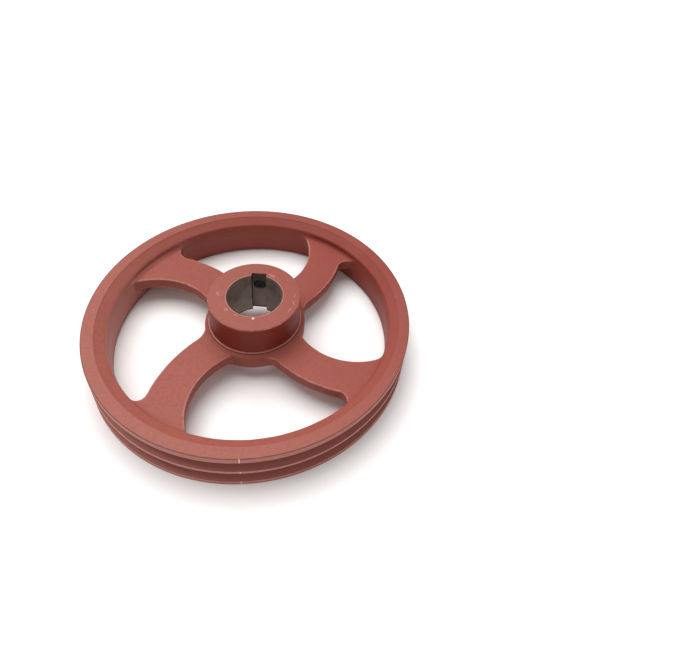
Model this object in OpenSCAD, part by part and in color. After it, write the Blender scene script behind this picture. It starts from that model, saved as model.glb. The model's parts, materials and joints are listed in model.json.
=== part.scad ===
// V-belt pulley with two A-section grooves, four curved arms and a keyed hub.
// One iron casting, turned and bored, and the set screw that holds it on its key.
// Millimetres. +Z is the shaft axis and leaves through the hub's nose.
// z = 0 is the rear face of the rim, which the pulley can stand on.
// +Y is the side of the hub with the keyway and the set screw over it.

/* [Part shown] */
// Which part is drawn

/* [Rim] */
// Outside diameter over the lands between the grooves
rim_d = 255.5; // [253:0.5:260]
// Width of the rim, front face to rear face
rim_w = 37; // [36:0.5:40]
// Front face to the middle of the first groove
front_edge = 12; // [11:0.5:12.5]
// Middle of one groove to the middle of the next
groove_pitch = 15; // [14.7:0.1:15.3]
// Radius of the plain wall inside the rim
wall_r = 110.3; // [108:0.1:111]
// Radial width of the turned band on the front face
band_w = 9; // [7:0.5:11]
// Height of the turned band over the cast cone beside it
band_step = 0.3; // [0.3:0.1:1]
// Depth of the cast cone where it meets the inside wall
cone_depth = 4.6; // [3:0.1:5]
// Chamfer on the inner corner of the rear face
rear_chamfer = 2.5; // [1:0.1:4]
// Chamfer on the two outer corners of the rim
rim_chamfer = 0.8; // [0.4:0.1:1.2]

/* [Grooves] */
// Width of the belt at the datum line
datum_w = 11; // [10.9:0.1:11.1]
// Depth of the datum line under the outside diameter
datum_depth = 2.75; // [2.75:0.05:3.3]
// Depth of the groove under the datum line
groove_depth = 8.7; // [8.7:0.1:9.2]
// Angle between the two flanks
groove_angle = 38; // [37.5:0.1:38.5]

/* [Arms] */
// Number of arms
arm_count = 4; // [3:1:4]
// Angle from the keyway to the middle of the first arm
arm_turn = 54.4; // [40:0.1:60]
// Thickness of the arms
arm_t = 10; // [8:0.5:12]
// Front face of the rim down to the front of the arms
arm_recess = 10.2; // [8:0.1:12]
// Radius of the hollow edge of each arm
hollow_r = 52.5; // [50:0.5:54]
// Centre of the hollow edge, along the arm
hollow_x = 57.3; // [56:0.1:58.5]
// Centre of the hollow edge, across the arm
hollow_y = 61; // [59:0.5:63]
// Radius of the round back edge of each arm
back_r = 103; // [101:0.5:105]
// Centre of the back edge, along the arm
back_x = 53.7; // [52:0.1:56]
// Centre of the back edge, across the arm
back_y = 82.4; // [81:0.1:84]
// Fillet from the hollow edge into the rim
hollow_rim_fillet = 10; // [5:0.5:12]
// Fillet from the back edge into the rim
back_rim_fillet = 8; // [4:0.5:10]
// Fillet from the hollow edge into the boss
hollow_boss_fillet = 3; // [2:0.5:5]
// Fillet from the back edge into the boss
back_boss_fillet = 15; // [10:0.5:16]

/* [Hub] */
// Turned outside diameter of the hub
hub_d = 72; // [70:0.5:74]
// Length of the hub
hub_len = 42; // [40:0.5:44]
// Height of the hub's nose over the front face of the rim
nose_out = 19.5; // [18:0.5:21]
// Chamfer on the outer corner of the nose
nose_chamfer = 0.8; // [0.4:0.1:1.5]
// Diameter of the cast boss that joins the arms
boss_d = 80; // [78:0.5:84]
// Height of the boss over the arms, where it meets the hub
boss_up = 1.9; // [1:0.1:3]
// Height of the boss over the arms, at its outer edge
boss_lip = 0.2; // [0.2:0.1:0.8]
// Diameter of the collar left where the turning tool stopped
collar_d = 74.4; // [74.2:0.1:76]
// Height of the collar over the boss
collar_h = 1.3; // [0.8:0.1:2]
// Chamfer on the rear corner of the boss
boss_chamfer = 1.5; // [0.5:0.1:2]

/* [Bore and keyway] */
// Bore for the shaft
bore_d = 42; // [38:1:42]
// Chamfer at both ends of the bore
bore_chamfer = 1; // [0.5:0.1:2]
// Width of the keyway
key_w = 12; // [10:1:12]
// Depth of the keyway under the bore
key_depth = 3.3; // [3.3:0.1:3.6]

/* [Set screw] */
// Thread size of the set screw
screw_d = 10; // [8:2:10]
// Length of the set screw
screw_len = 8; // [6:0.5:9]
// Width across the flats of the hex socket
socket_w = 5; // [4:0.5:5]
// Depth of the hex socket
socket_depth = 4; // [3:0.5:4.5]
// Nose of the hub down to the middle of the screw
screw_down = 14; // [13:0.5:15]
// Floor of the keyway out to the tip of the screw
tip_gap = 0.3; // [0.2:0.1:1]
// Radial gap between the screw and its hole
thread_gap = 0.05; // [0.02:0.01:0.1]
// Widening of the hole where it leaves the hub
mouth_chamfer = 0.8; // [0.4:0.1:1.2]

/* [Hidden] */

$fn = 180;
paint_red = [0.66, 0.33, 0.28];
dark_steel = [0.20, 0.20, 0.21];

// how far one shape runs into or past another, so that no two faces coincide
overlap = 0.5;

rim_r = rim_d / 2;
hub_r = hub_d / 2;
boss_r = boss_d / 2;
bore_r = bore_d / 2;
collar_r = collar_d / 2;

// heights along the shaft axis
nose_z = rim_w + nose_out;
hub_z = nose_z - hub_len;
arm_top_z = rim_w - arm_recess;
arm_z = arm_top_z - arm_t;
boss_z = arm_top_z + boss_up;
screw_z = nose_z - screw_down;

// the groove section, from the datum line
groove_half_top = datum_w / 2 + datum_depth * tan(groove_angle / 2);
groove_half_floor = datum_w / 2 - groove_depth * tan(groove_angle / 2);
groove_floor_r = rim_r - datum_depth - groove_depth;
first_groove_z = rim_w - front_edge;
second_groove_z = first_groove_z - groove_pitch;

// the arm's edges, seen from the front with the arm along +X
hollow_c = [hollow_x, hollow_y];
back_c = [back_x, back_y];
hollow_dir = atan2(hollow_y, hollow_x);
// how far a fillet's filling reaches into the iron behind its corner
fillet_backing = 1.5;
// the arms run this far out, into the iron of the rim
arm_root_r = wall_r + fillet_backing;
// how far a fillet is let into the iron, so that it ends in a crossing and not in a touch
fillet_bite = 0.03;

key_floor_r = bore_r + key_depth;
screw_r = screw_d / 2;
screw_hole_r = screw_r + thread_gap;
screw_tip_r = key_floor_r + tip_gap;
screw_chamfer = 0.9;
cup_r = 0.5 * screw_r;
cup_depth = 1.4;
// a hexagon's corner radius for the stated width across its flats
socket_r = socket_w / 2 / cos(30);

// the point at distance r from the shaft axis and distance s from centre c
function meet(c, r, s, side) =
    let (d = norm(c), a = atan2(c.y, c.x) + side * acos((r * r + d * d - s * s) / (2 * r * d)))
    [r * cos(a), r * sin(a)];

// the point at distance s from centre c on the way to point p
function toward(c, p, s) = c + (p - c) * s / norm(p - c);

// outline of one half of the rim's section, from the rear inner corner round to the front
rim_section = [
    [wall_r, rear_chamfer],
    [wall_r + rear_chamfer, 0],
    [rim_r - rim_chamfer, 0],
    [rim_r, rim_chamfer],
    [rim_r, second_groove_z - groove_half_top],
    [groove_floor_r, second_groove_z - groove_half_floor],
    [groove_floor_r, second_groove_z + groove_half_floor],
    [rim_r, second_groove_z + groove_half_top],
    [rim_r, first_groove_z - groove_half_top],
    [groove_floor_r, first_groove_z - groove_half_floor],
    [groove_floor_r, first_groove_z + groove_half_floor],
    [rim_r, first_groove_z + groove_half_top],
    [rim_r, rim_w - rim_chamfer],
    [rim_r - rim_chamfer, rim_w],
    [rim_r - band_w, rim_w],
    [rim_r - band_w, rim_w - band_step],
    [wall_r, rim_w - cone_depth]
];

// the hub before it is bored, with the cast boss and the collar above it
hub_section = [
    [0, hub_z],
    [boss_r - boss_chamfer, hub_z],
    [boss_r, hub_z + boss_chamfer],
    [boss_r, arm_top_z + boss_lip],
    [collar_r, boss_z],
    [collar_r, boss_z + collar_h],
    [hub_r, boss_z + collar_h],
    [hub_r, nose_z - nose_chamfer],
    [hub_r - nose_chamfer, nose_z],
    [0, nose_z]
];

module rim() {
    rotate_extrude()
        polygon(rim_section);
}

module hub_body() {
    rotate_extrude()
        polygon(hub_section);
}

// fills a corner up to a fillet of radius r centred on f; a and b are its tangent points
module corner_fill(f, a, b, corner, r) {
    difference() {
        polygon([
            f,
            a,
            toward(f, a, r + fillet_backing),
            toward(f, corner, norm(corner - f) + fillet_backing),
            toward(f, b, r + fillet_backing),
            b
        ]);
        translate(f)
            circle(r + fillet_bite);
    }
}

// fillet between the hollow edge and a round wall of radius wall about the shaft axis;
// inside is 1 when the gap between the arms lies inside the wall, -1 when outside
module hollow_fillet(wall, r, inside) {
    f = meet(hollow_c, wall - inside * r, hollow_r - r, -1);
    corner = meet(hollow_c, wall, hollow_r, -1);
    corner_fill(f, toward([0, 0], f, wall), toward(hollow_c, f, hollow_r), corner, r);
}

// the same between the back edge and a round wall
module back_fillet(wall, r, inside) {
    f = meet(back_c, wall - inside * r, back_r + r, -1);
    corner = meet(back_c, wall, back_r, -1);
    corner_fill(f, toward([0, 0], f, wall), toward(back_c, f, back_r), corner, r);
}

module arm_outline() {
    difference() {
        intersection() {
            translate(back_c)
                circle(back_r);
            rotate(hollow_dir)
                translate([0, -arm_root_r])
                    square(arm_root_r);
            circle(arm_root_r);
        }
        translate(hollow_c)
            circle(hollow_r);
    }
    hollow_fillet(wall_r, hollow_rim_fillet, 1);
    back_fillet(wall_r, back_rim_fillet, 1);
    hollow_fillet(boss_r, hollow_boss_fillet, -1);
    back_fillet(boss_r, back_boss_fillet, -1);
}

module arms() {
    for (i = [0 : arm_count - 1])
        rotate(90 + arm_turn + i * 360 / arm_count)
            translate([0, 0, arm_z])
                linear_extrude(arm_t)
                    arm_outline();
}

module bore_cut() {
    translate([0, 0, hub_z - overlap])
        cylinder(r = bore_r, h = hub_len + 2 * overlap);
    translate([0, 0, nose_z - bore_chamfer])
        cylinder(r1 = bore_r, r2 = bore_r + bore_chamfer + overlap, h = bore_chamfer + overlap);
    translate([0, 0, hub_z - overlap])
        cylinder(r1 = bore_r + bore_chamfer + overlap, r2 = bore_r, h = bore_chamfer + overlap);
    translate([-key_w / 2, 0, hub_z - overlap])
        cube([key_w, key_floor_r, hub_len + 2 * overlap]);
}

// the hole for the set screw, along +Y from inside the bore
module screw_hole() {
    mouth_r = hub_r - mouth_chamfer;
    translate([0, 0, screw_z])
        rotate([-90, 0, 0]) {
            translate([0, 0, bore_r - overlap])
                cylinder(r = screw_hole_r, h = hub_r - bore_r + 2 * overlap);
            translate([0, 0, mouth_r])
                cylinder(
                    r1 = screw_hole_r,
                    r2 = screw_hole_r + mouth_chamfer + overlap,
                    h = mouth_chamfer + overlap
                );
        }
}

module pulley_casting() {
    color(paint_red)
        difference() {
            union() {
                rim();
                arms();
                hub_body();
            }
            bore_cut();
            screw_hole();
        }
}

// the screw's half section: radius out, length up from the tip, with the cup in the tip
screw_section = [
    [0, cup_depth],
    [cup_r, 0],
    [screw_r - screw_chamfer, 0],
    [screw_r, screw_chamfer],
    [screw_r, screw_len - screw_chamfer],
    [screw_r - screw_chamfer, screw_len],
    [0, screw_len]
];

module set_screw() {
    color(dark_steel)
        translate([0, screw_tip_r, screw_z])
            rotate([-90, 0, 0])
                difference() {
                    rotate_extrude()
                        polygon(screw_section);
                    translate([0, 0, screw_len - socket_depth])
                        cylinder(r = socket_r, h = socket_depth + overlap, $fn = 6);
                }
}

pulley_casting();
set_screw();
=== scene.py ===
"""V-belt pulley: a painted iron casting with two grooves and four curved arms, and its set screw."""

import itertools
import json
import math
from functools import reduce

import bmesh
import bpy
import numpy as np
from mathutils import Matrix, Vector, noise


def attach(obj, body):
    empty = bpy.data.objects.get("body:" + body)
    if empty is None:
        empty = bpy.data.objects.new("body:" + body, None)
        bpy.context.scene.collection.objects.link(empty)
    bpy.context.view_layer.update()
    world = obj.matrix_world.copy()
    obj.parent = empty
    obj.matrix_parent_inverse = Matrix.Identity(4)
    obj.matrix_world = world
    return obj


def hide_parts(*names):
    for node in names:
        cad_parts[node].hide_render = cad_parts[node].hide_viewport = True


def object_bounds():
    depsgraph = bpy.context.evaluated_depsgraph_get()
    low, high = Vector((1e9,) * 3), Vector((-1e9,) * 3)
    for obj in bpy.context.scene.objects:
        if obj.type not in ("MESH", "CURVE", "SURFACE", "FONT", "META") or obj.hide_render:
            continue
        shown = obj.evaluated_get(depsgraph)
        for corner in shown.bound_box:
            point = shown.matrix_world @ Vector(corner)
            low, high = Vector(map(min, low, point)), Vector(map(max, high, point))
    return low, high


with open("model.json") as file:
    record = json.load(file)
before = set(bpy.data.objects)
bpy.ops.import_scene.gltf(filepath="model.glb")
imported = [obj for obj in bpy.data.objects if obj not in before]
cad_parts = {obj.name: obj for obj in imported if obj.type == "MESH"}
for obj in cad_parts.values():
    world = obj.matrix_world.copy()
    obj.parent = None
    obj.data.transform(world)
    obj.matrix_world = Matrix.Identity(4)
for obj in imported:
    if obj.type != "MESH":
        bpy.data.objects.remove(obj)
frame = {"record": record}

CAD_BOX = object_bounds()
MM = 0.001
TAU = 2 * math.pi

# ---- sizes, in millimetres; z = 0 is the rim's rear face and +Z leaves the hub's nose ----

BORE = next(m for m in frame["record"]["mounts"] if m["name"] == "shaft_bore")
RIM_R = CAD_BOX[1].x / MM
NOSE_Z = CAD_BOX[1].z / MM
BORE_R = BORE["dims"]["r_mm"]

SEGMENTS = 480  # facets round every turned surface

# rim
RIM_W = 37.0
BAND_W = 9.0  # turned band on the front face
BAND_STEP = 0.3  # the band stands this high over the cast cone
CONE_DEPTH = 4.6
RIM_ROUND = 0.45  # outer corners
LAND_ROUND = 0.3  # corners between a land and a flank
DEBURRED = 0.15  # edges that a tool has only just broken
WALL_MID_R = 110.0  # inner wall in the plane of the arms
WALL_END_R = 111.1  # inner wall at both mouths
WALL_ROUND = 0.8  # cone into wall
REAR_ROUND = 2.5  # wall into the rear face

# grooves, A section
FRONT_EDGE = 12.0  # from the front face to the middle of the first groove
GROOVE_PITCH = 15.0
GROOVES_Z = (RIM_W - FRONT_EDGE, RIM_W - FRONT_EDGE - GROOVE_PITCH)
DATUM_HALF = 5.5
DATUM_DEPTH = 2.75
GROOVE_DEPTH = 8.7
HALF_ANGLE = math.radians(19)
HALF_TOP = DATUM_HALF + DATUM_DEPTH * math.tan(HALF_ANGLE)
HALF_FLOOR = DATUM_HALF - GROOVE_DEPTH * math.tan(HALF_ANGLE)
GROOVE_FLOOR_R = RIM_R - DATUM_DEPTH - GROOVE_DEPTH
FLOOR_ROUND = 0.5

# arms; an arm's outline is drawn with the arm along +X
ARMS = 4
FIRST_ARM = math.radians(90 + 54.4)  # anticlockwise from +X; the keyway is at 90
ARM_T = 10.0
ARM_TOP = RIM_W - 10.2
ARM_MID = ARM_TOP - ARM_T / 2
HOLLOW_C, HOLLOW_R = (57.3, 61.0), 52.5
BACK_C, BACK_R = (53.7, 82.4), 103.0
ARM_EDGE_ROUND = 0.8
ARM_DRAFT = 0.06  # how far each side draws in for every millimetre from mid thickness
ARM_RIM_FILLET = 1.2  # from the arm's faces into the wall
HOLLOW_RIM_FILLETS = (12.0, 11.0, 8.0, 12.0)  # hand-finished, so each arm has its own
BACK_RIM_FILLETS = (9.5, 6.2, 8.3, 9.5)
FILLET_BACKING = 1.5  # how far a fillet's filling reaches into the iron behind its corner
HOLLOW_BOSS_FILLET = 3.0
BACK_BOSS_FILLET = 15.0

# hub
HUB_R = 36.0
HUB_REAR_Z = NOSE_Z - 42.0
NOSE_CHAMFER = 0.6
NOSE_ROUND = 0.3
BOSS_R = 40.0
BOSS_TOP = ARM_TOP + 1.9
BOSS_ROUND = 0.8
BOSS_FLARE = 3.6  # the boss's top falls to the arms over this distance
REAR_FLARE = 4.0  # and its rear face over this one
COLLAR_R = 37.2
COLLAR_H = 1.3
COLLAR_ROUND = 0.3
HUB_FOOT_ROUND = 0.2
BORE_CHAMFER = 1.0
KEY_HALF = 6.0
KEY_FLOOR = BORE_R + 3.3
KEY_ROUND = 0.3

# set screw and its tapped hole, along +Y
SCREW_Z = NOSE_Z - 14.0
SCREW_R = 5.0
SCREW_LEN = 8.0
SCREW_TIP = KEY_FLOOR + 0.3
PITCH = 1.5
CREST_SHARE, FLANK_SHARE = 0.12, 0.7  # of half a pitch; the root takes the rest
THREAD_H = 0.8
THREAD_STEP = 0.15  # spacing of the rings of points along a thread
SCREW_CHAMFER = 0.9
CUP_R, CUP_LIP, CUP_DEPTH = 2.5, 0.3, 1.4
CUP_BOTTOM_R, CUP_BOTTOM_UP = 0.4, 0.2
SOCKET_HALF, SOCKET_DEPTH, SOCKET_BREAK = 2.5, 4.0, 0.35
DRILL_R, DRILL_DEPTH = 0.3, 0.9  # drill point left under the socket
DRILL_EDGE, DRILL_EDGE_DOWN = 0.92 * SOCKET_HALF, 0.1
HOLE_R = SCREW_R + 0.05
HOLE_THREAD_H = 0.5
MOUTH_CHAMFER, MOUTH_SLOPE = 0.9, 1.1
SCREW_SEGMENTS = 96


# ---- distance functions: negative inside the iron ----


def round_cut(a, b, radius):
    """Intersection of two distances with its outer edge rounded."""
    over_a, over_b = np.maximum(radius + a, 0), np.maximum(radius + b, 0)
    return np.minimum(-radius, np.maximum(a, b)) + np.hypot(over_a, over_b)


def meet(centre, from_axis, from_centre):
    """The point at the two given distances from the shaft axis and from the centre."""
    d = math.hypot(*centre)
    bend = math.acos((from_axis**2 + d**2 - from_centre**2) / (2 * from_axis * d))
    angle = math.atan2(centre[1], centre[0]) - bend
    return np.array([from_axis * math.cos(angle), from_axis * math.sin(angle)])


def unit(v):
    return v / np.linalg.norm(v)


def cross(a, b):
    return a[0] * b[1] - a[1] * b[0]


def corner_fill(u, v, radius, wall, wall_side, centre, edge, edge_side):
    """Distance to the iron that fills a corner between a round wall and an arm's edge circle.

    A side is 1 where the gap between the arms lies inside that circle and -1 where it lies outside.
    """
    f = meet(centre, wall - wall_side * radius, edge - edge_side * radius)
    corner = meet(centre, wall, edge)
    to_wall, to_edge = wall_side * unit(f), edge_side * unit(f - centre)
    turn = math.copysign(1, cross(to_wall, to_edge))
    p = (u - f[0], v - f[1])
    away = np.hypot(*p)
    wedge = np.maximum(-turn * cross(to_wall, p), -turn * cross(p, to_edge))
    reach = np.linalg.norm(corner - f) + FILLET_BACKING
    return np.maximum(np.maximum(radius - away, away - reach), wedge)


def smooth(x):
    """From 0 to 1 as x does, level at both ends."""
    x = np.clip(x, 0, 1)
    return x * x * (3 - 2 * x)


def web_outline(x, y):
    """Plan of the arms with their fillets into the rim and the boss."""
    r = np.hypot(x, y)
    split = math.atan2(HOLLOW_C[1], HOLLOW_C[0])
    web = np.minimum(WALL_MID_R - r, r - BOSS_R)
    for i in range(ARMS):
        turn = FIRST_ARM + i * TAU / ARMS
        u = x * math.cos(turn) + y * math.sin(turn)
        v = y * math.cos(turn) - x * math.sin(turn)
        hollow = HOLLOW_R - np.hypot(u - HOLLOW_C[0], v - HOLLOW_C[1])
        back = np.hypot(u - BACK_C[0], v - BACK_C[1]) - BACK_R
        side = v * math.cos(split) - u * math.sin(split)
        web = np.minimum(web, np.maximum(np.maximum(hollow, back), side))
        for wall, wall_side, hollow_fillet, back_fillet in (
            (WALL_MID_R, 1, HOLLOW_RIM_FILLETS[i], BACK_RIM_FILLETS[i]),
            (BOSS_R, -1, HOLLOW_BOSS_FILLET, BACK_BOSS_FILLET),
        ):
            at_hollow = corner_fill(u, v, hollow_fillet, wall, wall_side, HOLLOW_C, HOLLOW_R, 1)
            at_back = corner_fill(u, v, back_fillet, wall, wall_side, BACK_C, BACK_R, -1)
            web = np.minimum(web, np.minimum(at_hollow, at_back))
    return web


def boss_top(r):
    """Height of the boss's top, and of the arms' beyond it."""
    return ARM_TOP + (BOSS_TOP - ARM_TOP) * (1 - smooth((r - COLLAR_R) / BOSS_FLARE))


def web_distance(x, y, z):
    r = np.hypot(x, y)
    into_fillet = np.clip(ARM_RIM_FILLET - (WALL_MID_R - r), 0, ARM_RIM_FILLET)
    at_rim = ARM_RIM_FILLET - np.sqrt(ARM_RIM_FILLET**2 - into_fillet**2)
    at_boss = 1 - smooth((r - BOSS_R + 1) / REAR_FLARE)
    top = boss_top(r) + at_rim
    rear = ARM_TOP - ARM_T - at_rim - (ARM_TOP - ARM_T - HUB_REAR_Z) * at_boss
    sides = web_outline(x, y) + ARM_DRAFT * np.abs(z - ARM_MID)
    faces = np.maximum(z - top, rear - z)
    return round_cut(sides, faces, ARM_EDGE_ROUND)


def rim_distance(x, y, z):
    r = np.hypot(x, y)
    mouth_z = RIM_W - CONE_DEPTH
    from_mid = np.where(z > ARM_MID, (z - ARM_MID) / (mouth_z - ARM_MID), (ARM_MID - z) / ARM_MID)
    wall = WALL_MID_R + (WALL_END_R - WALL_MID_R) * from_mid - r
    run, drop = RIM_R - BAND_W - WALL_END_R, CONE_DEPTH - BAND_STEP
    cone = ((z - mouth_z) * run - (r - WALL_END_R) * drop) / math.hypot(run, drop)
    return round_cut(round_cut(wall, cone, WALL_ROUND), -z, REAR_ROUND)


def boss_distance(x, y, z):
    r = np.hypot(x, y)
    faces = np.maximum(z - boss_top(r), HUB_REAR_Z - z)
    return round_cut(r - BOSS_R, faces, BOSS_ROUND)


def casting_distance(x, y, z):
    return np.minimum(
        web_distance(x, y, z), np.minimum(rim_distance(x, y, z), boss_distance(x, y, z))
    )


# ---- the cast surface: a net over a grid of rings, so that it joins the turned surfaces ----

RING_IN, RING_OUT = COLLAR_R, RIM_R - BAND_W
RING_STEPS = 68
LEVEL_LOW, LEVEL_STEP, LEVELS = -1.4, 1.0, 40
CELL_CORNERS = tuple(itertools.product((0, 1), repeat=3))
WAVES = ((13, 0.16), (4.2, 0.07))  # size and height of a sand casting's unevenness


def grid_corner(i, j, k):
    r = RING_IN + i * (RING_OUT - RING_IN) / RING_STEPS
    angle = j * TAU / SEGMENTS
    return r * np.cos(angle), r * np.sin(angle), LEVEL_LOW + k * LEVEL_STEP


def net_points(value, cells):
    """One point per cell: the mean of where the surface crosses the cell's edges."""
    corners = np.array(CELL_CORNERS)
    at = [
        value[cells[:, 0] + a, (cells[:, 1] + b) % SEGMENTS, cells[:, 2] + c]
        for a, b, c in corners
    ]
    total, count = np.zeros((len(cells), 3)), np.zeros(len(cells))
    for p, q in itertools.combinations(range(len(corners)), 2):
        edge = corners[q] - corners[p]
        if np.abs(edge).sum() != 1:
            continue
        crosses = (at[p] < 0) != (at[q] < 0)
        share = at[p] / np.where(crosses, at[p] - at[q], 1)
        total += np.where(crosses[:, None], corners[p] + share[:, None] * edge, 0)
        count += crosses
    place = cells + total / count[:, None]
    return np.stack(grid_corner(*place.T), 1)


def change_across(points, step):
    """How much the distance grows from a step before each point to a step after it, along each axis."""
    change = np.empty_like(points)
    for axis, shift in enumerate(np.eye(3) * step):
        after, before = casting_distance(*(points + shift).T), casting_distance(*(points - shift).T)
        change[:, axis] = after - before
    return change


def settle(points, rounds=4, step=0.02, longest=0.5):
    """Moves points onto the surface along the distance's own slope."""
    for _ in range(rounds):
        value = casting_distance(*points.T)
        slope = change_across(points, step) / (2 * step)
        steepness = np.maximum((slope**2).sum(1), 0.1)
        points = points - np.clip(value / steepness, -longest, longest)[:, None] * slope
    return points


def outward(points, step=0.05):
    """The direction straight out of the iron at each point."""
    change = change_across(points, step)
    return change / np.maximum(np.linalg.norm(change, axis=1), 1e-9)[:, None]


def net_faces(inside, index):
    """A quad round every grid edge that the surface crosses, joining the points of its four cells."""
    faces = []
    steps = np.eye(3, dtype=int)
    n = inside.shape
    for axis in range(3):
        edge, across, along = steps[axis], steps[(axis + 1) % 3], steps[(axis + 2) % 3]
        i, j, k = np.meshgrid(*(np.arange(m) for m in n), indexing="ij")
        i2, j2, k2 = i + edge[0], (j + edge[1]) % n[1], k + edge[2]
        keep = (i2 < n[0]) & (k2 < n[2])
        for d in (across, along):
            keep &= (i - d[0] >= 0) & (k - d[2] >= 0)
        i, j, k, i2, j2, k2 = (q[keep] for q in (i, j, k, i2, j2, k2))
        first, second = inside[i, j, k], inside[i2, j2, k2]
        at = np.stack([i, j, k], 1)[first != second]
        forwards = first[first != second]
        ring = [at - across - along, at - along, at, at - across]
        quads = np.stack([index[q[:, 0], q[:, 1] % SEGMENTS, q[:, 2]] for q in ring], 1)
        whole = (quads >= 0).all(1)
        quads, forwards = quads[whole], forwards[whole]
        faces.append(np.where(forwards[:, None], quads, quads[:, ::-1]))
    return np.concatenate(faces)


def snap_ring(points, index, ring_i, radius, level):
    """Puts the net's last round of points exactly on a circle that a turned surface starts from."""
    k = math.floor((level - LEVEL_LOW) / LEVEL_STEP)
    angle = (np.arange(SEGMENTS) + 0.5) * TAU / SEGMENTS
    ring = np.stack([radius * np.cos(angle), radius * np.sin(angle), np.full(SEGMENTS, level)], 1)
    points[index[ring_i, :, k]] = ring


def rise(distance, start, over):
    """0 up to start, 1 where the distance is over millimetres further on."""
    return smooth((distance - start) / over)


def casting_unevenness(points, normals):
    """Slight waves of a sand casting, fading out where the turned surfaces start."""
    r, z = np.hypot(points[:, 0], points[:, 1]), points[:, 2]
    fade = rise(r - RING_IN, 1, 3) * rise(RING_OUT - r, 0.5, 2)
    fade = fade * np.where(r > WALL_END_R, rise(z, 0.5, 3), 1)
    wave = [sum(height * noise.noise(Vector(p) / size) for size, height in WAVES) for p in points]
    return points + normals * (np.array(wave) * fade)[:, None]


def cast_net():
    """Points and faces of everything that is left as cast, open where the turned surfaces join."""
    i, j, k = np.meshgrid(
        np.arange(RING_STEPS + 1), np.arange(SEGMENTS), np.arange(LEVELS + 1), indexing="ij"
    )
    value = casting_distance(*grid_corner(i, j, k))
    inside = value < 0
    wrapped = np.concatenate([inside, inside[:, :1]], 1)
    any_in, all_in = np.zeros((RING_STEPS, SEGMENTS, LEVELS), bool), True
    for a, b, c in CELL_CORNERS:
        part = wrapped[a : a + RING_STEPS, b : b + SEGMENTS, c : c + LEVELS]
        any_in, all_in = any_in | part, all_in & part
    cells = np.argwhere(any_in & ~all_in)
    index = np.full(any_in.shape, -1)
    index[tuple(cells.T)] = np.arange(len(cells))
    padded = np.full(inside.shape, -1)
    padded[:RING_STEPS, :, :LEVELS] = index
    points = settle(net_points(value, cells))
    points = casting_unevenness(points, outward(points))
    for level in (RIM_W - BAND_STEP, 0.0):
        snap_ring(points, index, RING_STEPS - 1, RING_OUT, level)
    for level in (BOSS_TOP, HUB_REAR_Z):
        snap_ring(points, index, 0, RING_IN, level)
    return points, net_faces(inside, padded)


# ---- turned surfaces ----


def rounded(outline, steps=3):
    """An open outline of (r, z, corner radius) with its corners turned into arcs."""
    out = [outline[0][:2]]
    for before, here, after in zip(outline, outline[1:], outline[2:]):
        p = np.array(here[:2])
        a, b = np.array(before[:2]) - p, np.array(after[:2]) - p
        a, b = a / np.linalg.norm(a), b / np.linalg.norm(b)
        half = math.acos(np.clip(a @ b, -1, 1)) / 2
        reach = here[2] / math.tan(half)
        centre = p + (a + b) / np.linalg.norm(a + b) * here[2] / math.sin(half)
        start, end = p + a * reach - centre, p + b * reach - centre
        sweep = math.pi - 2 * half
        for s in range(steps + 1):
            w = s / steps
            arc = (math.sin((1 - w) * sweep) * start + math.sin(w * sweep) * end) / math.sin(sweep)
            out.append(tuple(centre + arc))
    out.append(outline[-1][:2])
    return out


def turned(outline, segments, shift=0.5):
    """Rings of points round Z along an outline of (r, z), and the quads between them."""
    angle = (np.arange(segments) + shift) * TAU / segments
    points = [
        np.stack([r * np.cos(angle), r * np.sin(angle), np.full(segments, z)], 1) for r, z in outline
    ]
    return np.concatenate(points), ring_quads(len(outline), segments)


def ring_quads(rings, segments):
    here = np.arange(segments)
    after = (here + 1) % segments
    one_ring = np.stack([here, segments + here, segments + after, after], 1)
    return np.concatenate([ring * segments + one_ring for ring in range(rings - 1)])


def rim_outline():
    outline = [
        (RING_OUT, RIM_W - BAND_STEP, 0),
        (RING_OUT, RIM_W, DEBURRED),
        (RIM_R, RIM_W, RIM_ROUND),
    ]
    for z in GROOVES_Z:
        outline += [
            (RIM_R, z + HALF_TOP, LAND_ROUND),
            (GROOVE_FLOOR_R, z + HALF_FLOOR, FLOOR_ROUND),
            (GROOVE_FLOOR_R, z - HALF_FLOOR, FLOOR_ROUND),
            (RIM_R, z - HALF_TOP, LAND_ROUND),
        ]
    return outline + [(RIM_R, 0, RIM_ROUND), (RING_OUT, 0, 0)]


def hub_outline():
    shoulder = BOSS_TOP + COLLAR_H
    return [
        (COLLAR_R, BOSS_TOP, 0),
        (COLLAR_R, shoulder, COLLAR_ROUND),
        (HUB_R, shoulder, HUB_FOOT_ROUND),
        (HUB_R, NOSE_Z - NOSE_CHAMFER, NOSE_ROUND),
        (HUB_R - NOSE_CHAMFER, NOSE_Z, NOSE_ROUND),
        (BORE_R + BORE_CHAMFER, NOSE_Z, DEBURRED),
        (BORE_R, NOSE_Z - BORE_CHAMFER, DEBURRED),
        (BORE_R, HUB_REAR_Z + BORE_CHAMFER, DEBURRED),
        (BORE_R + BORE_CHAMFER, HUB_REAR_Z, DEBURRED),
        (COLLAR_R, HUB_REAR_Z, 0),
    ]


# ---- meshes ----

WELD = 1e-4  # points closer than this become one
PAST = 1.0  # how far a cutter reaches beyond what it cuts
KEY_ROUND_STEPS = 4
SMOOTH_BELOW = math.radians(34)  # edges that turn by less are shaded smooth


def make_object(name, points, faces):
    """An object from points and faces, with points that meet joined into one."""
    mesh = bpy.data.meshes.new(name)
    mesh.from_pydata(points.tolist(), [], faces)
    bm = bmesh.new()
    bm.from_mesh(mesh)
    bmesh.ops.remove_doubles(bm, verts=bm.verts, dist=WELD)
    bmesh.ops.recalc_face_normals(bm, faces=bm.faces)
    bm.to_mesh(mesh)
    bm.free()
    piece = bpy.data.objects.new(name, mesh)
    bpy.context.scene.collection.objects.link(piece)
    return piece


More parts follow.
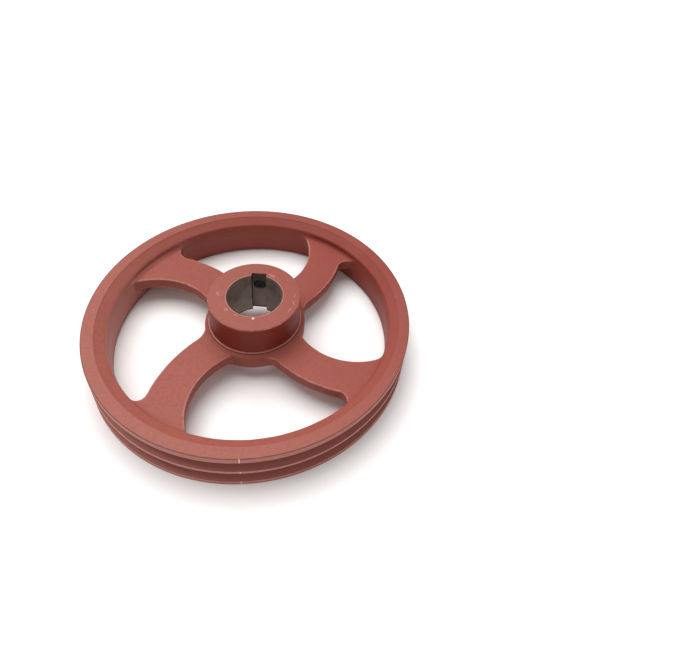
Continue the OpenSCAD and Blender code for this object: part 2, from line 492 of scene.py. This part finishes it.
def cut(piece, cutter):
    """Takes the cutter's shape out of the piece and removes the cutter."""
    change = piece.modifiers.new("cut", "BOOLEAN")
    change.operation, change.solver, change.object = "DIFFERENCE", "MANIFOLD", cutter
    shape = piece.evaluated_get(bpy.context.evaluated_depsgraph_get())
    mesh = bpy.data.meshes.new_from_object(shape)
    piece.modifiers.remove(change)
    piece.data = mesh
    bpy.data.objects.remove(cutter)


def keyway_cutter():
    side = [(-KEY_HALF, 0.0), (KEY_HALF, 0.0)]
    for direction, start in ((1, 0), (-1, 90)):
        centre_x, centre_y = direction * (KEY_HALF - KEY_ROUND), KEY_FLOOR - KEY_ROUND
        for s in range(KEY_ROUND_STEPS + 1):
            a = math.radians(start + s * 90 / KEY_ROUND_STEPS)
            side.append((centre_x + KEY_ROUND * math.cos(a), centre_y + KEY_ROUND * math.sin(a)))
    n = len(side)
    levels = (HUB_REAR_Z - PAST, NOSE_Z + PAST)
    points = np.array([(x, y, z) for z in levels for x, y in side])
    faces = [[q, (q + 1) % n, n + (q + 1) % n, n + q] for q in range(n)]
    faces += [list(range(n))[::-1], list(range(n, 2 * n))]
    return make_object("keyway_cutter", points, faces)


def thread_radius(along, angle, crest, depth):
    """Radius of a right-hand vee thread: crest at the outside, with small flats."""
    phase = (along / PITCH + angle / TAU) % 1.0
    vee = np.abs(phase - 0.5) * 2
    return crest - depth * np.clip((vee - CREST_SHARE) / FLANK_SHARE, 0, 1)


SCREW_ANGLES = np.arange(SCREW_SEGMENTS) * TAU / SCREW_SEGMENTS


def screw_ring(radius, along):
    """A ring of points round the screw's axis; the radius is one number or one for each point."""
    r = radius * np.ones(SCREW_SEGMENTS)
    height = SCREW_Z + r * np.sin(SCREW_ANGLES)
    return np.stack([r * np.cos(SCREW_ANGLES), np.full(SCREW_SEGMENTS, along), height], 1)


def threaded_tube(start, end, radius_at):
    """Rings of points along +Y whose radius follows radius_at(along, angle)."""
    count = round((end - start) / THREAD_STEP) + 1
    return [screw_ring(radius_at(along, SCREW_ANGLES), along) for along in np.linspace(start, end, count)]


def closed_rings(name, rings):
    """A closed skin over rings, its first and last ring filled with one face each."""
    faces = ring_quads(len(rings), SCREW_SEGMENTS).tolist()
    last = (len(rings) - 1) * SCREW_SEGMENTS
    faces += [list(range(SCREW_SEGMENTS)), list(range(last, last + SCREW_SEGMENTS))]
    return make_object(name, np.concatenate(rings), faces)


def hole_cutter():
    mouth = HUB_R - MOUTH_CHAMFER

    def radius_at(along, angle):
        thread = thread_radius(along, angle, HOLE_R + HOLE_THREAD_H, HOLE_THREAD_H)
        return np.maximum(thread, HOLE_R + (along - mouth) * MOUTH_SLOPE)

    return closed_rings("hole_cutter", threaded_tube(BORE_R - PAST, HUB_R + 1.5 * PAST, radius_at))


def build_casting():
    cast_points, cast_faces = cast_net()
    rim_points, rim_faces = turned(rounded(rim_outline()), SEGMENTS)
    hub_points, hub_faces = turned(rounded(hub_outline()), SEGMENTS)
    points = np.concatenate([cast_points, rim_points, hub_points])
    faces = np.concatenate(
        [cast_faces, rim_faces + len(cast_points), hub_faces + len(cast_points) + len(rim_points)]
    )
    piece = make_object("casting", points, faces.tolist())
    cut(piece, keyway_cutter())
    cut(piece, hole_cutter())
    return piece


def build_screw():
    """Headless screw with a cup point towards the key and a hexagon socket in its outer end."""
    tip, end = SCREW_TIP, SCREW_TIP + SCREW_LEN
    flank = SCREW_R - SCREW_CHAMFER

    def radius_at(along, angle):
        thread = thread_radius(along, angle, SCREW_R, THREAD_H)
        return np.minimum(thread, flank + np.minimum(along - tip, end - along))

    hexagon = SOCKET_HALF / np.cos((SCREW_ANGLES + TAU / 12) % (TAU / 6) - TAU / 12)
    socket_floor = end - SOCKET_DEPTH
    rings = [
        screw_ring(CUP_BOTTOM_R, tip + CUP_DEPTH - CUP_BOTTOM_UP),
        screw_ring(CUP_R, tip),
        screw_ring(CUP_R + CUP_LIP, tip),
    ]
    rings += threaded_tube(tip, end, radius_at)
    rings += [
        screw_ring(hexagon + SOCKET_BREAK, end),
        screw_ring(hexagon, end - SOCKET_BREAK),
        screw_ring(hexagon, socket_floor),
        screw_ring(DRILL_EDGE, socket_floor - DRILL_EDGE_DOWN),
        screw_ring(DRILL_R, socket_floor - DRILL_DEPTH),
    ]
    return closed_rings("screw_body", rings)


def finish_mesh(piece, name, materials, choose):
    """Metres, materials by face, smooth shading with the real edges kept sharp."""
    mesh = piece.data
    mesh.transform(Matrix.Scale(MM, 4))
    mesh.name = piece.name = name
    mesh.materials.clear()
    for m in materials:
        mesh.materials.append(m)
    centres, normals = np.empty((2, len(mesh.polygons) * 3))
    mesh.polygons.foreach_get("center", centres)
    mesh.polygons.foreach_get("normal", normals)
    slots = choose(centres.reshape(-1, 3) / MM, normals.reshape(-1, 3))
    mesh.polygons.foreach_set("material_index", slots.astype(np.int32))
    mesh.shade_smooth()
    mesh.set_sharp_from_angle(angle=SMOOTH_BELOW)
    mesh.update()
    even = piece.modifiers.new("even_normals", "WEIGHTED_NORMAL")
    even.keep_sharp = True


# ---- material helpers ----


class Nodes:
    """Builds a material's node tree. A number or colour given for an input is set, a socket is linked.

    place is the point on the piece, x, y and z its parts, and r its distance from the shaft axis,
    all in metres.
    """

    def __init__(self, name):
        self.material = bpy.data.materials.new(name)
        self.material.use_nodes = True
        self.tree = self.material.node_tree
        self.tree.nodes.clear()
        self.place = self.add("ShaderNodeTexCoord").outputs["Object"]
        split = self.add("ShaderNodeSeparateXYZ", Vector=self.place)
        self.x, self.y, self.z = split.outputs[:3]
        flat = self.add("ShaderNodeCombineXYZ", X=self.x, Y=self.y)
        length = self.add("ShaderNodeVectorMath", {"operation": "LENGTH"}, Vector=flat.outputs[0])
        self.r = length.outputs["Value"]

    def add(self, kind, settings=None, **inputs):
        """A new node. An input's name is given with _ for each space."""
        node = self.tree.nodes.new(kind)
        for key, value in (settings or {}).items():
            setattr(node, key, value)
        for key, value in inputs.items():
            self.put(node.inputs[key.replace("_", " ")], value)
        return node

    def put(self, socket, value):
        if isinstance(value, bpy.types.NodeSocket):
            self.tree.links.new(value, socket)
        else:
            socket.default_value = value

    def math(self, operation, a, b=0.0):
        node = self.add("ShaderNodeMath", {"operation": operation})
        self.put(node.inputs[0], a)
        self.put(node.inputs[1], b)
        return node.outputs[0]

    def total(self, *values):
        return reduce(lambda a, b: self.math("ADD", a, b), values)

    def product(self, *values):
        return reduce(lambda a, b: self.math("MULTIPLY", a, b), values)

    def length(self, a, b):
        return self.math("SQRT", self.total(self.product(a, a), self.product(b, b)))

    def noise(self, size, detail=3.0, roughness=0.55, place=None):
        """Noise from 0 to 1 whose largest features are about size millimetres."""
        scale = 1 / (size * MM)
        place = place or self.place
        node = self.add("ShaderNodeTexNoise", Vector=place, Scale=scale, Detail=detail, Roughness=roughness)
        return node.outputs["Fac"]

    def step(self, value, low, high):
        """0 at low, 1 at high, smooth between; low may be the greater of the two."""
        node = self.add("ShaderNodeMapRange", {"interpolation_type": "SMOOTHSTEP"})
        self.put(node.inputs["Value"], value)
        self.put(node.inputs["From Min"], low)
        self.put(node.inputs["From Max"], high)
        return node.outputs["Result"]

    def mix(self, share, a, b):
        node = self.add("ShaderNodeMix", {"data_type": "RGBA"})
        self.put(node.inputs[0], share)
        self.put(node.inputs[6], a)
        self.put(node.inputs[7], b)
        return node.outputs[2]

    def coat(self, tone, over, where, strength=1.0):
        """The tone with another colour laid over it where a mask says."""
        return self.mix(self.product(where, strength), tone, over)

    def blend(self, share, a, b):
        node = self.add("ShaderNodeMix", {"data_type": "FLOAT"})
        self.put(node.inputs[0], share)
        self.put(node.inputs[2], a)
        self.put(node.inputs[3], b)
        return node.outputs[0]

    def bump(self, height, depth, normal=None):
        """Bump whose height runs from 0 to 1 over depth millimetres."""
        node = self.add("ShaderNodeBump", Height=height, Distance=depth * MM, Strength=1.0)
        if normal:
            self.put(node.inputs["Normal"], normal)
        return node.outputs[0]

    def finish(self, colour, roughness, normal=None, metallic=0.0, specular=0.5):
        shader = self.add(
            "ShaderNodeBsdfPrincipled", Base_Color=colour, Roughness=roughness, Metallic=metallic
        )
        self.put(shader.inputs["Specular IOR Level"], specular)
        if normal:
            self.put(shader.inputs["Normal"], normal)
        out = self.add("ShaderNodeOutputMaterial")
        self.tree.links.new(shader.outputs[0], out.inputs["Surface"])
        return self.material


def colour(r, g, b):
    """A colour given as it looks on a screen, from 0 to 255."""
    return (*[((c / 255 + 0.055) / 1.055) ** 2.4 for c in (r, g, b)], 1.0)


PAINT = colour(128, 50, 37)
# painted light: the primer on its better lit side
PAINT_LIT_SIDE = colour(149, 81, 68)
PAINT_DARK = colour(122, 54, 44)
PAINT_PALE = colour(154, 80, 67)
# painted light, for the lands and the -X side of the inner wall
PAINT_LIT = colour(182, 122, 111)
# painted shade, for the inner corners and the hub's side
PAINT_SHADED = colour(118, 38, 28)
# painted light on the grooves' upward flanks
PAINT_LIT_FLANK = colour(170, 108, 96)
# pale worn paint, also used as a painted highlight on the cast edges
PALE_WEAR_AND_HIGHLIGHT = colour(204, 152, 140)
PALE_SPECK = colour(226, 196, 170)
# painted shadow, under the collar and along the rim's front outer corner
PAINTED_SHADOW = colour(62, 26, 22)
IRON = colour(158, 146, 138)
IRON_BROWN = colour(122, 104, 92)
# dark iron for oil and painted shade
DARK_IRON_OIL_AND_SHADE = colour(70, 56, 46)
BLACKING = colour(46, 46, 49)
WORN_STEEL = colour(96, 94, 92)
FLOOR_PALE = colour(246, 245, 244)
FLOOR_GREY = colour(240, 239, 238)


# ---- materials ----

PAINTED_LIGHT_SIDE = (-0.71, -0.71)  # the direction towards which the paint is painted lighter, as painted light
SHADED_END_AT, LIT_END_AT = -1.15 * RIM_R, 1.0 * RIM_R  # measured in that direction


def paint_tone(n):
    """The primer, painted lighter towards one side of the part as painted light, with slow clouding and
    finer mottling.
    """
    towards = n.total(n.product(n.x, PAINTED_LIGHT_SIDE[0]), n.product(n.y, PAINTED_LIGHT_SIDE[1]))
    painted_light = n.step(towards, SHADED_END_AT * MM, LIT_END_AT * MM)
    cloud = n.step(n.noise(70, 3), 0.35, 0.68)
    mottle = n.step(n.noise(2.6, 5, 0.65), 0.4, 0.66)
    # painted light: lighter towards one side of the part
    tone = n.mix(painted_light, PAINT, PAINT_LIT_SIDE)
    tone = n.coat(tone, PAINT_PALE, cloud, 0.25)
    return n.coat(tone, PAINT_DARK, mottle, 0.28)


def between(n, value, low, high, soft):
    """1 from low to high millimetres, fading out over soft millimetres at either end."""
    above = n.step(value, (low - soft) * MM, low * MM)
    below = n.step(value, (high + soft) * MM, high * MM)
    return n.product(above, below)


def edge_mask(n, edges, width):
    """1 close to any of the circular edges (r, z), broken up by noise."""
    away = [n.length(n.math("SUBTRACT", n.r, r * MM), n.math("SUBTRACT", n.z, z * MM)) for r, z in edges]
    nearest = reduce(lambda a, b: n.math("MINIMUM", a, b), away)
    ragged = n.product(n.noise(5, 5), 2 * width * MM)
    return n.step(n.math("DIVIDE", nearest, ragged), 1.25, 0.55)


# The circular edges that are drawn paler: the lands, the rear corner, the nose, the bore's chamfer and the
# collar's top.
def pale_edge_rings():
    edges = [(RIM_R, z + side * HALF_TOP) for z in GROOVES_Z for side in (1, -1)]
    edges += [(RIM_R, 0), (HUB_R, NOSE_Z)]
    return edges + [(BORE_R + BORE_CHAMFER, NOSE_Z), (COLLAR_R, BOSS_TOP + COLLAR_H)]


def painted_light_on_wall(n):
    """1 on the -X side of the rim's inner wall, which is painted lighter there as painted light."""
    wall = between(n, n.r, WALL_MID_R - 0.4, WALL_END_R + 0.1, 0.75)
    side = n.step(n.x, -0.5 * RIM_R * MM, -0.8 * RIM_R * MM)
    return n.product(wall, side)


POINTINESS_HIGHLIGHT = (0.53, 0.565)  # over 0.5 on an outer edge
POINTINESS_CORNER = (0.485, 0.44)  # and under it in an inner corner
CORNER_REACH = 9.0


def painted_edge_highlight(n, pointiness):
    """1 along the arms' and the boss's cast edges, as a painted highlight."""
    ragged = n.total(pointiness, n.product(n.noise(4, 4), 0.02))
    off_rim = n.step(n.r, (WALL_MID_R - 1) * MM, (WALL_MID_R - 3) * MM)
    return n.product(n.step(ragged, *POINTINESS_HIGHLIGHT), off_rim)


def painted_corner_shade(n, pointiness):
    """1 in the inner corners of the casting and where it is sheltered, as painted shade."""
    node = n.add("ShaderNodeAmbientOcclusion", {"samples": 6}, Distance=CORNER_REACH * MM)
    sheltered = n.step(node.outputs["AO"], 0.85, 0.4)
    corner = n.math("MAXIMUM", n.step(pointiness, *POINTINESS_CORNER), sheltered)
    return n.product(corner, n.step(n.r, (WALL_END_R + 3) * MM, (WALL_END_R + 1) * MM))


def painted_collar_shadow(n):
    """1 on a broken line of painted shadow round the foot of the hub's collar."""
    near = n.step(n.r, (COLLAR_R + 1.1) * MM, (COLLAR_R + 0.2) * MM)
    return n.product(near, n.step(n.noise(2.5, 3), 0.35, 0.5))


def cast_paint():
    n = Nodes("red_oxide_cast")
    grain = n.noise(0.9, 4, 0.65)
    pits = n.step(n.noise(1.8, 2), 0.68, 0.74)
    pointiness = n.add("ShaderNodeNewGeometry").outputs["Pointiness"]
    tone = n.coat(paint_tone(n), PAINT_DARK, pits, 0.55)
    # painted light on the -X side of the inner wall
    tone = n.coat(tone, PAINT_LIT, painted_light_on_wall(n), 0.55)
    # painted highlight along the cast edges
    tone = n.coat(tone, PALE_WEAR_AND_HIGHLIGHT, painted_edge_highlight(n, pointiness), 0.6)
    # painted shade in the inner corners
    tone = n.coat(tone, PAINT_SHADED, painted_corner_shade(n, pointiness), 0.85)
    # painted shadow round the foot of the collar
    tone = n.coat(tone, PAINTED_SHADOW, painted_collar_shadow(n), 0.75)
    rough = n.total(0.54, n.product(grain, 0.2))
    sand = n.math("SUBTRACT", grain, n.product(pits, 0.8))
    lumps = n.bump(n.noise(3.5, 3), 0.12)
    return n.finish(tone, rough, n.bump(sand, 0.07, lumps), specular=0.3)


# marks on the hub's nose: x, y, half length, half width, angle of the length
NOSE_SCUFFS = (
    (-28.6, -0.6, 2.3, 0.9, 1.8),
    (-27.2, -2.6, 1.4, 0.6, 0.3),
    (-19.1, -16.6, 2.2, 1.3, 2.4),
    (-11.0, -21.6, 2.0, 0.6, 2.7),
    (31.2, 2.6, 2.6, 0.5, 1.4),
    (31.0, -4.8, 3.0, 0.6, 1.75),
    (28.6, -13.0, 3.2, 0.7, 1.1),
    (10.6, 22.8, 3.4, 1.2, -0.4),
)
NOSE_SPECK = (2.4, -23.7, 1.25, 1.1, 0.0)
KNOCK_X = 8.8
KNOCK_HALF = 0.6


def scuff(n, x, y, half_length, half_width, angle):
    """1 inside a small ragged oval on the hub's nose."""
    dx, dy = n.math("SUBTRACT", n.x, x * MM), n.math("SUBTRACT", n.y, y * MM)
    c, s = math.cos(angle), math.sin(angle)
    along = n.total(n.product(dx, c), n.product(dy, s))
    across = n.math("SUBTRACT", n.product(dy, c), n.product(dx, s))
    away = n.length(n.math("DIVIDE", along, half_length * MM), n.math("DIVIDE", across, half_width * MM))
    away = n.total(away, n.product(n.noise(1.2, 4), 0.9))
    on_nose = n.step(n.z, (NOSE_Z - 0.2) * MM, (NOSE_Z - 0.1) * MM)
    return n.product(n.step(away, 1.5, 1.0), on_nose)


def hub_side(n):
    """1 on the turned side of the hub, between the collar and the nose."""
    below = n.step(n.z, (NOSE_Z - NOSE_CHAMFER) * MM, (NOSE_Z - NOSE_CHAMFER - 1) * MM)
    return n.product(below, between(n, n.r, HUB_R - 0.5, HUB_R + 0.3, 0.4))


def in_grooves(n):
    """1 on the flanks and floors of the grooves."""
    under = n.step(n.r, (RIM_R - 0.2) * MM, (RIM_R - 1.2) * MM)
    return n.product(under, between(n, n.z, 2, RIM_W - 2, 1))


def faces_up(n):
    """How much painted light the flanks get: most on flanks that face up, none on those that face down."""
    normal = n.add("ShaderNodeNewGeometry").outputs["Normal"]
    up = n.add("ShaderNodeSeparateXYZ", Vector=normal).outputs["Z"]
    return n.product(n.step(up, -0.1, 0.8), 0.65)


def land_knock(n):
    """1 where a knock has taken the paint off the edges of all three lands."""
    across = n.math("ABSOLUTE", n.math("SUBTRACT", n.x, KNOCK_X * MM))
    across = n.total(across, n.product(n.noise(1.5, 3), 0.8 * MM))
    near_side = n.step(n.y, 0, -1 * MM)
    on_land = n.step(n.r, (RIM_R - 0.5) * MM, (RIM_R - 0.1) * MM)
    return n.product(n.step(across, 1.5 * KNOCK_HALF * MM, KNOCK_HALF * MM), near_side, on_land)


def turned_paint():
    n = Nodes("red_oxide_turned")
    lands = n.step(n.r, (RIM_R - 0.3) * MM, (RIM_R - 0.1) * MM)
    front_corner = edge_mask(n, [(RIM_R - 0.1, RIM_W - 0.1)], 0.55)
    chips = n.step(n.noise(2.2, 2), 0.745, 0.765)
    # painted light: the lands' outer faces drawn lighter
    tone = n.coat(paint_tone(n), PAINT_LIT, lands, 0.45)
    # painted shade along the rim's front outer corner
    tone = n.coat(tone, PAINTED_SHADOW, front_corner, 0.6)
    # paler along the turned edges
    tone = n.coat(tone, PALE_WEAR_AND_HIGHLIGHT, edge_mask(n, pale_edge_rings(), 0.4), 0.65)
    tone = n.coat(tone, PALE_WEAR_AND_HIGHLIGHT, chips, 0.5)
    # painted shade on the hub's turned side
    tone = n.coat(tone, PAINT_SHADED, hub_side(n), 0.75)
    # painted light on the grooves' upward flanks
    tone = n.coat(tone, PAINT_LIT_FLANK, n.product(in_grooves(n), faces_up(n)))
    tone = n.coat(tone, PALE_SPECK, land_knock(n))
    for mark in NOSE_SCUFFS:
        tone = n.coat(tone, PALE_WEAR_AND_HIGHLIGHT, scuff(n, *mark), 0.3)
    tone = n.coat(tone, PALE_SPECK, scuff(n, *NOSE_SPECK))
    round_the_axis = n.add("ShaderNodeCombineXYZ", X=n.r, Y=0.0, Z=n.z).outputs[0]
    lathe = n.noise(0.45, 2, 0.6, round_the_axis)
    grain = n.noise(0.6, 3)
    rough = n.total(0.42, n.product(grain, 0.16), n.product(lathe, 0.06))
    normal = n.bump(grain, 0.018, n.bump(lathe, 0.012))
    return n.finish(tone, rough, normal, specular=n.blend(hub_side(n), 0.3, 0.12))


def oil_and_shade_places(n):
    """1 on the keyway's sides and upper end, the bore's front chamfer and its rear edge, which are drawn
    darker: painted shade in the keyway, oil and painted shade at the bore's ends.
    """
    in_key = n.step(n.r, (BORE_R + 0.05) * MM, (BORE_R + 0.2) * MM)
    key_side = n.step(n.math("ABSOLUTE", n.x), (KEY_HALF - 0.3) * MM, (KEY_HALF - 0.1) * MM)
    ragged_z = n.total(n.z, n.product(n.noise(4, 4), 6 * MM))
    key_end = n.product(n.step(ragged_z, (SCREW_Z + 3) * MM, (SCREW_Z + 8) * MM), 0.8)
    in_key = n.product(in_key, n.math("MAXIMUM", key_side, key_end))
    chamfer = n.step(n.z, (NOSE_Z - BORE_CHAMFER - 0.2) * MM, (NOSE_Z - BORE_CHAMFER) * MM)
    rear = n.step(ragged_z, (HUB_REAR_Z + 6.2) * MM, (HUB_REAR_Z + 3.6) * MM)
    ends = n.math("MAXIMUM", n.product(chamfer, 0.6), rear)
    return n.math("MAXIMUM", in_key, ends)


def bare_iron():
    """Turned iron with tool rings, brown stains, oil and painted shade, and a little paint over the front
    chamfer.
    """
    n = Nodes("bare_iron")
    round_the_axis = n.add("ShaderNodeCombineXYZ", X=n.product(n.r, 3.0), Y=0.0, Z=n.z).outputs[0]
    lathe = n.noise(0.5, 3, 0.7, round_the_axis)
    stain = n.step(n.noise(12, 5), 0.4, 0.7)
    ragged_z = n.total(n.z, n.product(n.noise(3, 4), 3.0 * MM))
    painted = n.step(ragged_z, (NOSE_Z + 1.1) * MM, (NOSE_Z + 1.6) * MM)
    tone = n.mix(n.product(stain, 0.7), IRON, IRON_BROWN)
    # painted shade in the keyway, oil and painted shade at the bore's ends
    tone = n.coat(tone, DARK_IRON_OIL_AND_SHADE, oil_and_shade_places(n), 0.85)
    tone = n.coat(tone, PAINT, painted)
    rough = n.total(0.4, n.product(n.noise(4, 3), 0.16), n.product(lathe, 0.1))
    rough = n.blend(painted, rough, 0.55)
    return n.finish(tone, rough, n.bump(lathe, 0.02), metallic=n.blend(painted, 0.75, 0.0))


def black_steel():
    n = Nodes("black_steel")
    worn = n.step(n.noise(1.4, 4), 0.5, 0.72)
    tone = n.mix(worn, BLACKING, WORN_STEEL)
    rough = n.total(0.34, n.product(n.noise(0.8, 3), 0.2))
    return n.finish(tone, rough, n.bump(n.noise(0.3, 2), 0.01), metallic=0.85)


def floor_material():
    n = Nodes("pale_floor")
    tone = n.mix(n.noise(400, 3), FLOOR_PALE, FLOOR_GREY)
    return n.finish(tone, 0.75, n.bump(n.noise(8, 3), 0.05), specular=0.15)


# ---- pieces ----


CAST, TURNED, BARE = 0, 1, 2
CLOSE = 0.02  # how near to a boundary counts as on it


def casting_zone(centre, normal):
    """Each face's material: as cast, turned and painted, or bare."""
    x, y, z = centre.T
    r, level = np.hypot(x, y), np.abs(normal[:, 2])
    zone = np.full(len(centre), CAST)
    zone[r > RING_OUT - CLOSE] = TURNED
    zone[(z < CLOSE) & (r > WALL_END_R + REAR_ROUND - 1)] = TURNED
    zone[r < COLLAR_R + CLOSE] = TURNED
    zone[(r < BORE_R + BORE_CHAMFER + CLOSE) & (level < 0.95)] = BARE
    in_key = (np.abs(x) < KEY_HALF + CLOSE) & (y > 0) & (r < KEY_FLOOR + 0.9)
    zone[in_key & (level < 0.5)] = BARE
    in_thread = np.hypot(x, z - SCREW_Z) < HOLE_R + HOLE_THREAD_H + 0.1
    zone[in_thread & (y > KEY_FLOOR) & (y < HUB_R - MOUTH_CHAMFER)] = BARE
    return zone


def add_casting():
    piece = build_casting()
    finish_mesh(piece, "casting", [cast_paint(), turned_paint(), bare_iron()], casting_zone)
    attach(piece, "pulley")
    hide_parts("pulley_casting")


def add_screw():
    piece = build_screw()
    finish_mesh(piece, "grub_screw", [black_steel()], lambda centres, normals: np.zeros(len(centres)))
    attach(piece, "screw")
    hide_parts("set_screw")


# ---- floor, light and camera ----

FLOOR_SIZE = 60.0  # in metres, so that its edge is lost in the white backdrop
FLOOR_GAP = 0.02 * MM  # keeps the floor clear of the rim's rear face
KEY_FROM = (-0.36, 0.45, 1.5)
KEY_WIDTH = math.radians(55)
KEY_STRENGTH = 3.15
STUDIO_LIGHT = 0.52
BACKDROP = 1.0
CAMERA_AT = Vector((0.0583, -0.3112, 0.4103))
CAMERA_HEADING = math.radians(10.60)  # clockwise from +Y, seen from above
CAMERA_TILT = math.radians(42.49)  # below the horizon
CAMERA_ROLL = math.radians(12.08)  # anticlockwise, seen from behind the camera
CAMERA_LENS = 30.31
LENS_SHIFT = (-0.1048, -0.1104)
CAMERA_NEAR = 1e-5  # the camera is at its place when it is this close, in metres
CLIP = (0.02, 80)


def add_floor():
    half = FLOOR_SIZE / 2
    mesh = bpy.data.meshes.new("floor")
    corners = [(x * half, y * half, 0) for x, y in ((-1, -1), (1, -1), (1, 1), (-1, 1))]
    mesh.from_pydata(corners, [], [(0, 1, 2, 3)])
    mesh.materials.append(floor_material())
    floor = bpy.data.objects.new("floor", mesh)
    floor.location.z = CAD_BOX[0].z - FLOOR_GAP
    bpy.context.scene.collection.objects.link(floor)


def add_light():
    lamp = bpy.data.lights.new("key", "SUN")
    lamp.angle, lamp.energy = KEY_WIDTH, KEY_STRENGTH
    holder = bpy.data.objects.new("key", lamp)
    holder.rotation_euler = (-Vector(KEY_FROM)).to_track_quat("-Z", "Y").to_euler()
    bpy.context.scene.collection.objects.link(holder)


def add_studio():
    """Even light from all round, seen by the camera as a plain white backdrop."""
    world = bpy.data.worlds.new("studio")
    world.use_nodes = True
    nodes, links = world.node_tree.nodes, world.node_tree.links
    seen = nodes.new("ShaderNodeLightPath").outputs["Is Camera Ray"]
    strength = nodes.new("ShaderNodeMapRange")
    strength.inputs["To Min"].default_value = STUDIO_LIGHT
    strength.inputs["To Max"].default_value = BACKDROP
    links.new(seen, strength.inputs["Value"])
    background = nodes["Background"]
    background.inputs["Color"].default_value = (1, 1, 1, 1)
    links.new(strength.outputs[0], background.inputs["Strength"])
    bpy.context.scene.world = world


def shift_lens_at_home(holder, axis, amount):
    """Gives the lens its shift while the camera stands at its own place, and none anywhere else."""
    curve = holder.data.driver_add(axis)
    x = curve.driver.variables.new()
    x.name, x.type = "x", "TRANSFORMS"
    x.targets[0].id = holder
    x.targets[0].transform_type = "LOC_X"
    curve.driver.expression = f"{amount} if abs(x - {CAMERA_AT.x}) < {CAMERA_NEAR} else 0"


def add_camera():
    camera = bpy.data.cameras.new("camera")
    camera.lens = CAMERA_LENS
    camera.clip_start, camera.clip_end = CLIP
    holder = bpy.data.objects.new("camera", camera)
    turn = Matrix.Rotation(-CAMERA_HEADING, 4, "Z")
    tilt = Matrix.Rotation(math.pi / 2 - CAMERA_TILT, 4, "X")
    roll = Matrix.Rotation(CAMERA_ROLL, 4, "Z")
    holder.matrix_world = Matrix.Translation(CAMERA_AT) @ turn @ tilt @ roll
    bpy.context.scene.collection.objects.link(holder)
    bpy.context.scene.camera = holder
    for axis, amount in zip(("shift_x", "shift_y"), LENS_SHIFT):
        shift_lens_at_home(holder, axis, amount)


add_casting()
add_screw()
add_floor()
add_light()
add_studio()
add_camera()
bpy.context.scene.view_settings.view_transform = "Standard"
